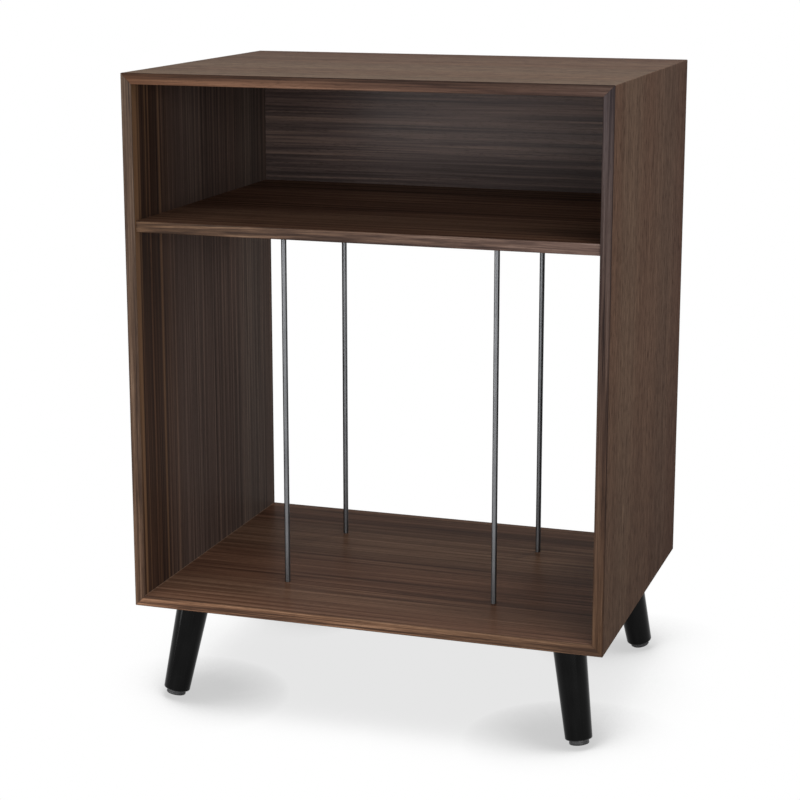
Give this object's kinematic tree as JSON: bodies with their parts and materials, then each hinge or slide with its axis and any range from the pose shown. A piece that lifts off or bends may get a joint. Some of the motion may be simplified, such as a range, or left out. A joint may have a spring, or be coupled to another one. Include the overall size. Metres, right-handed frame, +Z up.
{
  "type": "record storage stand",
  "caption": "Walnut-veneered record stand: a mitred case with an upper compartment and open record bays parted by steel rods, on splayed black legs with levelling glides.",
  "frame": {"origin": "on the floor, under the middle of the case", "axes": "+Z up, front towards -Y, +X to the right seen from the front"},
  "size_m": [0.53, 0.39, 0.703],
  "materials": {
    "walnut_veneer": "walnut veneer with a fine open pore, satin clear coat",
    "walnut_veneer_inside": "straight-grained walnut veneer, satin clear coat",
    "walnut_edge_band": "walnut edge banding, grain along the edge, eased arrises",
    "plain_beech": "raw beech",
    "satin_steel_rod": "satin steel, drawn along its length",
    "zinc_plated_steel": "bright zinc plate",
    "black_lacquered_wood": "black satin lacquer on turned wood",
    "brass_insert": "plain turned brass",
    "black_nylon": "matt black nylon"
  },
  "bodies": {
    "stand": {"top_panel": "walnut_veneer", "bottom_panel": "walnut_veneer_inside", "left_side_panel": "walnut_veneer", "right_side_panel": "walnut_veneer", "middle_shelf": "walnut_veneer_inside", "upper_back_panel": "walnut_veneer_inside", "front_band_top": "walnut_edge_band", "front_band_bottom": "walnut_edge_band", "front_band_left": "walnut_edge_band", "front_band_right": "walnut_edge_band", "rear_band_top": "walnut_edge_band", "rear_band_bottom": "walnut_edge_band", "rear_band_left": "walnut_edge_band", "rear_band_right": "walnut_edge_band", "shelf_front_band": "walnut_edge_band", "shelf_rear_band": "walnut_edge_band", "mitre_feather_top_left": "plain_beech", "mitre_feather_top_right": "plain_beech", "mitre_feather_bottom_left": "plain_beech", "mitre_feather_bottom_right": "plain_beech", "shelf_dowels": "plain_beech", "back_panel_dowels": "plain_beech", "leg_plate_screws": "zinc_plated_steel", "divider_rod_front_left": "satin_steel_rod", "leg_plate_front_left": "zinc_plated_steel", "hanger_bolt_front_left": "zinc_plated_steel", "leg_front_left": "black_lacquered_wood", "foot_insert_front_left": "brass_insert", "divider_rod_front_right": "satin_steel_rod", "leg_plate_front_right": "zinc_plated_steel", "hanger_bolt_front_right": "zinc_plated_steel", "leg_front_right": "black_lacquered_wood", "foot_insert_front_right": "brass_insert", "divider_rod_rear_left": "satin_steel_rod", "leg_plate_rear_left": "zinc_plated_steel", "hanger_bolt_rear_left": "zinc_plated_steel", "leg_rear_left": "black_lacquered_wood", "foot_insert_rear_left": "brass_insert", "divider_rod_rear_right": "satin_steel_rod", "leg_plate_rear_right": "zinc_plated_steel", "hanger_bolt_rear_right": "zinc_plated_steel", "leg_rear_right": "black_lacquered_wood", "foot_insert_rear_right": "brass_insert"},
    "glide_stem_front_left": {"glide_stem_front_left": "zinc_plated_steel"},
    "glide_pad_front_left": {"glide_pad_front_left": "black_nylon"},
    "glide_stem_front_right": {"glide_stem_front_right": "zinc_plated_steel"},
    "glide_pad_front_right": {"glide_pad_front_right": "black_nylon"},
    "glide_stem_rear_left": {"glide_stem_rear_left": "zinc_plated_steel"},
    "glide_pad_rear_left": {"glide_pad_rear_left": "black_nylon"},
    "glide_stem_rear_right": {"glide_stem_rear_right": "zinc_plated_steel"},
    "glide_pad_rear_right": {"glide_pad_rear_right": "black_nylon"}
  },
  "joints": [
    {"name": "glide_drop_front_left", "type": "slide", "parent": "stand", "child": "glide_stem_front_left", "axis": [-0.1591, -0.1591, -0.9744], "range_m": [0, 0.01]},
    {"name": "glide_turn_front_left", "type": "hinge", "parent": "glide_stem_front_left", "child": "glide_pad_front_left", "pos_m": [-0.23353, -0.15954, 0.00759], "axis": [-0.1591, -0.1591, -0.9744], "range_deg": [0, 2880]},
    {"name": "glide_drop_front_right", "type": "slide", "parent": "stand", "child": "glide_stem_front_right", "axis": [0.1591, -0.1591, -0.9744], "range_m": [0, 0.01]},
    {"name": "glide_turn_front_right", "type": "hinge", "parent": "glide_stem_front_right", "child": "glide_pad_front_right", "pos_m": [0.23353, -0.15954, 0.00759], "axis": [0.1591, -0.1591, -0.9744], "range_deg": [0, 2880]},
    {"name": "glide_drop_rear_left", "type": "slide", "parent": "stand", "child": "glide_stem_rear_left", "axis": [-0.1591, 0.1591, -0.9744], "range_m": [0, 0.01]},
    {"name": "glide_turn_rear_left", "type": "hinge", "parent": "glide_stem_rear_left", "child": "glide_pad_rear_left", "pos_m": [-0.23353, 0.15954, 0.00759], "axis": [-0.1591, 0.1591, -0.9744], "range_deg": [0, 2880]},
    {"name": "glide_drop_rear_right", "type": "slide", "parent": "stand", "child": "glide_stem_rear_right", "axis": [0.1591, 0.1591, -0.9744], "range_m": [0, 0.01]},
    {"name": "glide_turn_rear_right", "type": "hinge", "parent": "glide_stem_rear_right", "child": "glide_pad_rear_right", "pos_m": [0.23353, 0.15954, 0.00759], "axis": [0.1591, 0.1591, -0.9744], "range_deg": [0, 2880]}
  ],
  "couplings": [
    {"joint": "glide_turn_front_left", "follows": "glide_drop_front_left", "rad_per_m": 5026.5},
    {"joint": "glide_turn_front_right", "follows": "glide_drop_front_right", "rad_per_m": 5026.5},
    {"joint": "glide_turn_rear_left", "follows": "glide_drop_rear_left", "rad_per_m": 5026.5},
    {"joint": "glide_turn_rear_right", "follows": "glide_drop_rear_right", "rad_per_m": 5026.5}
  ]
}
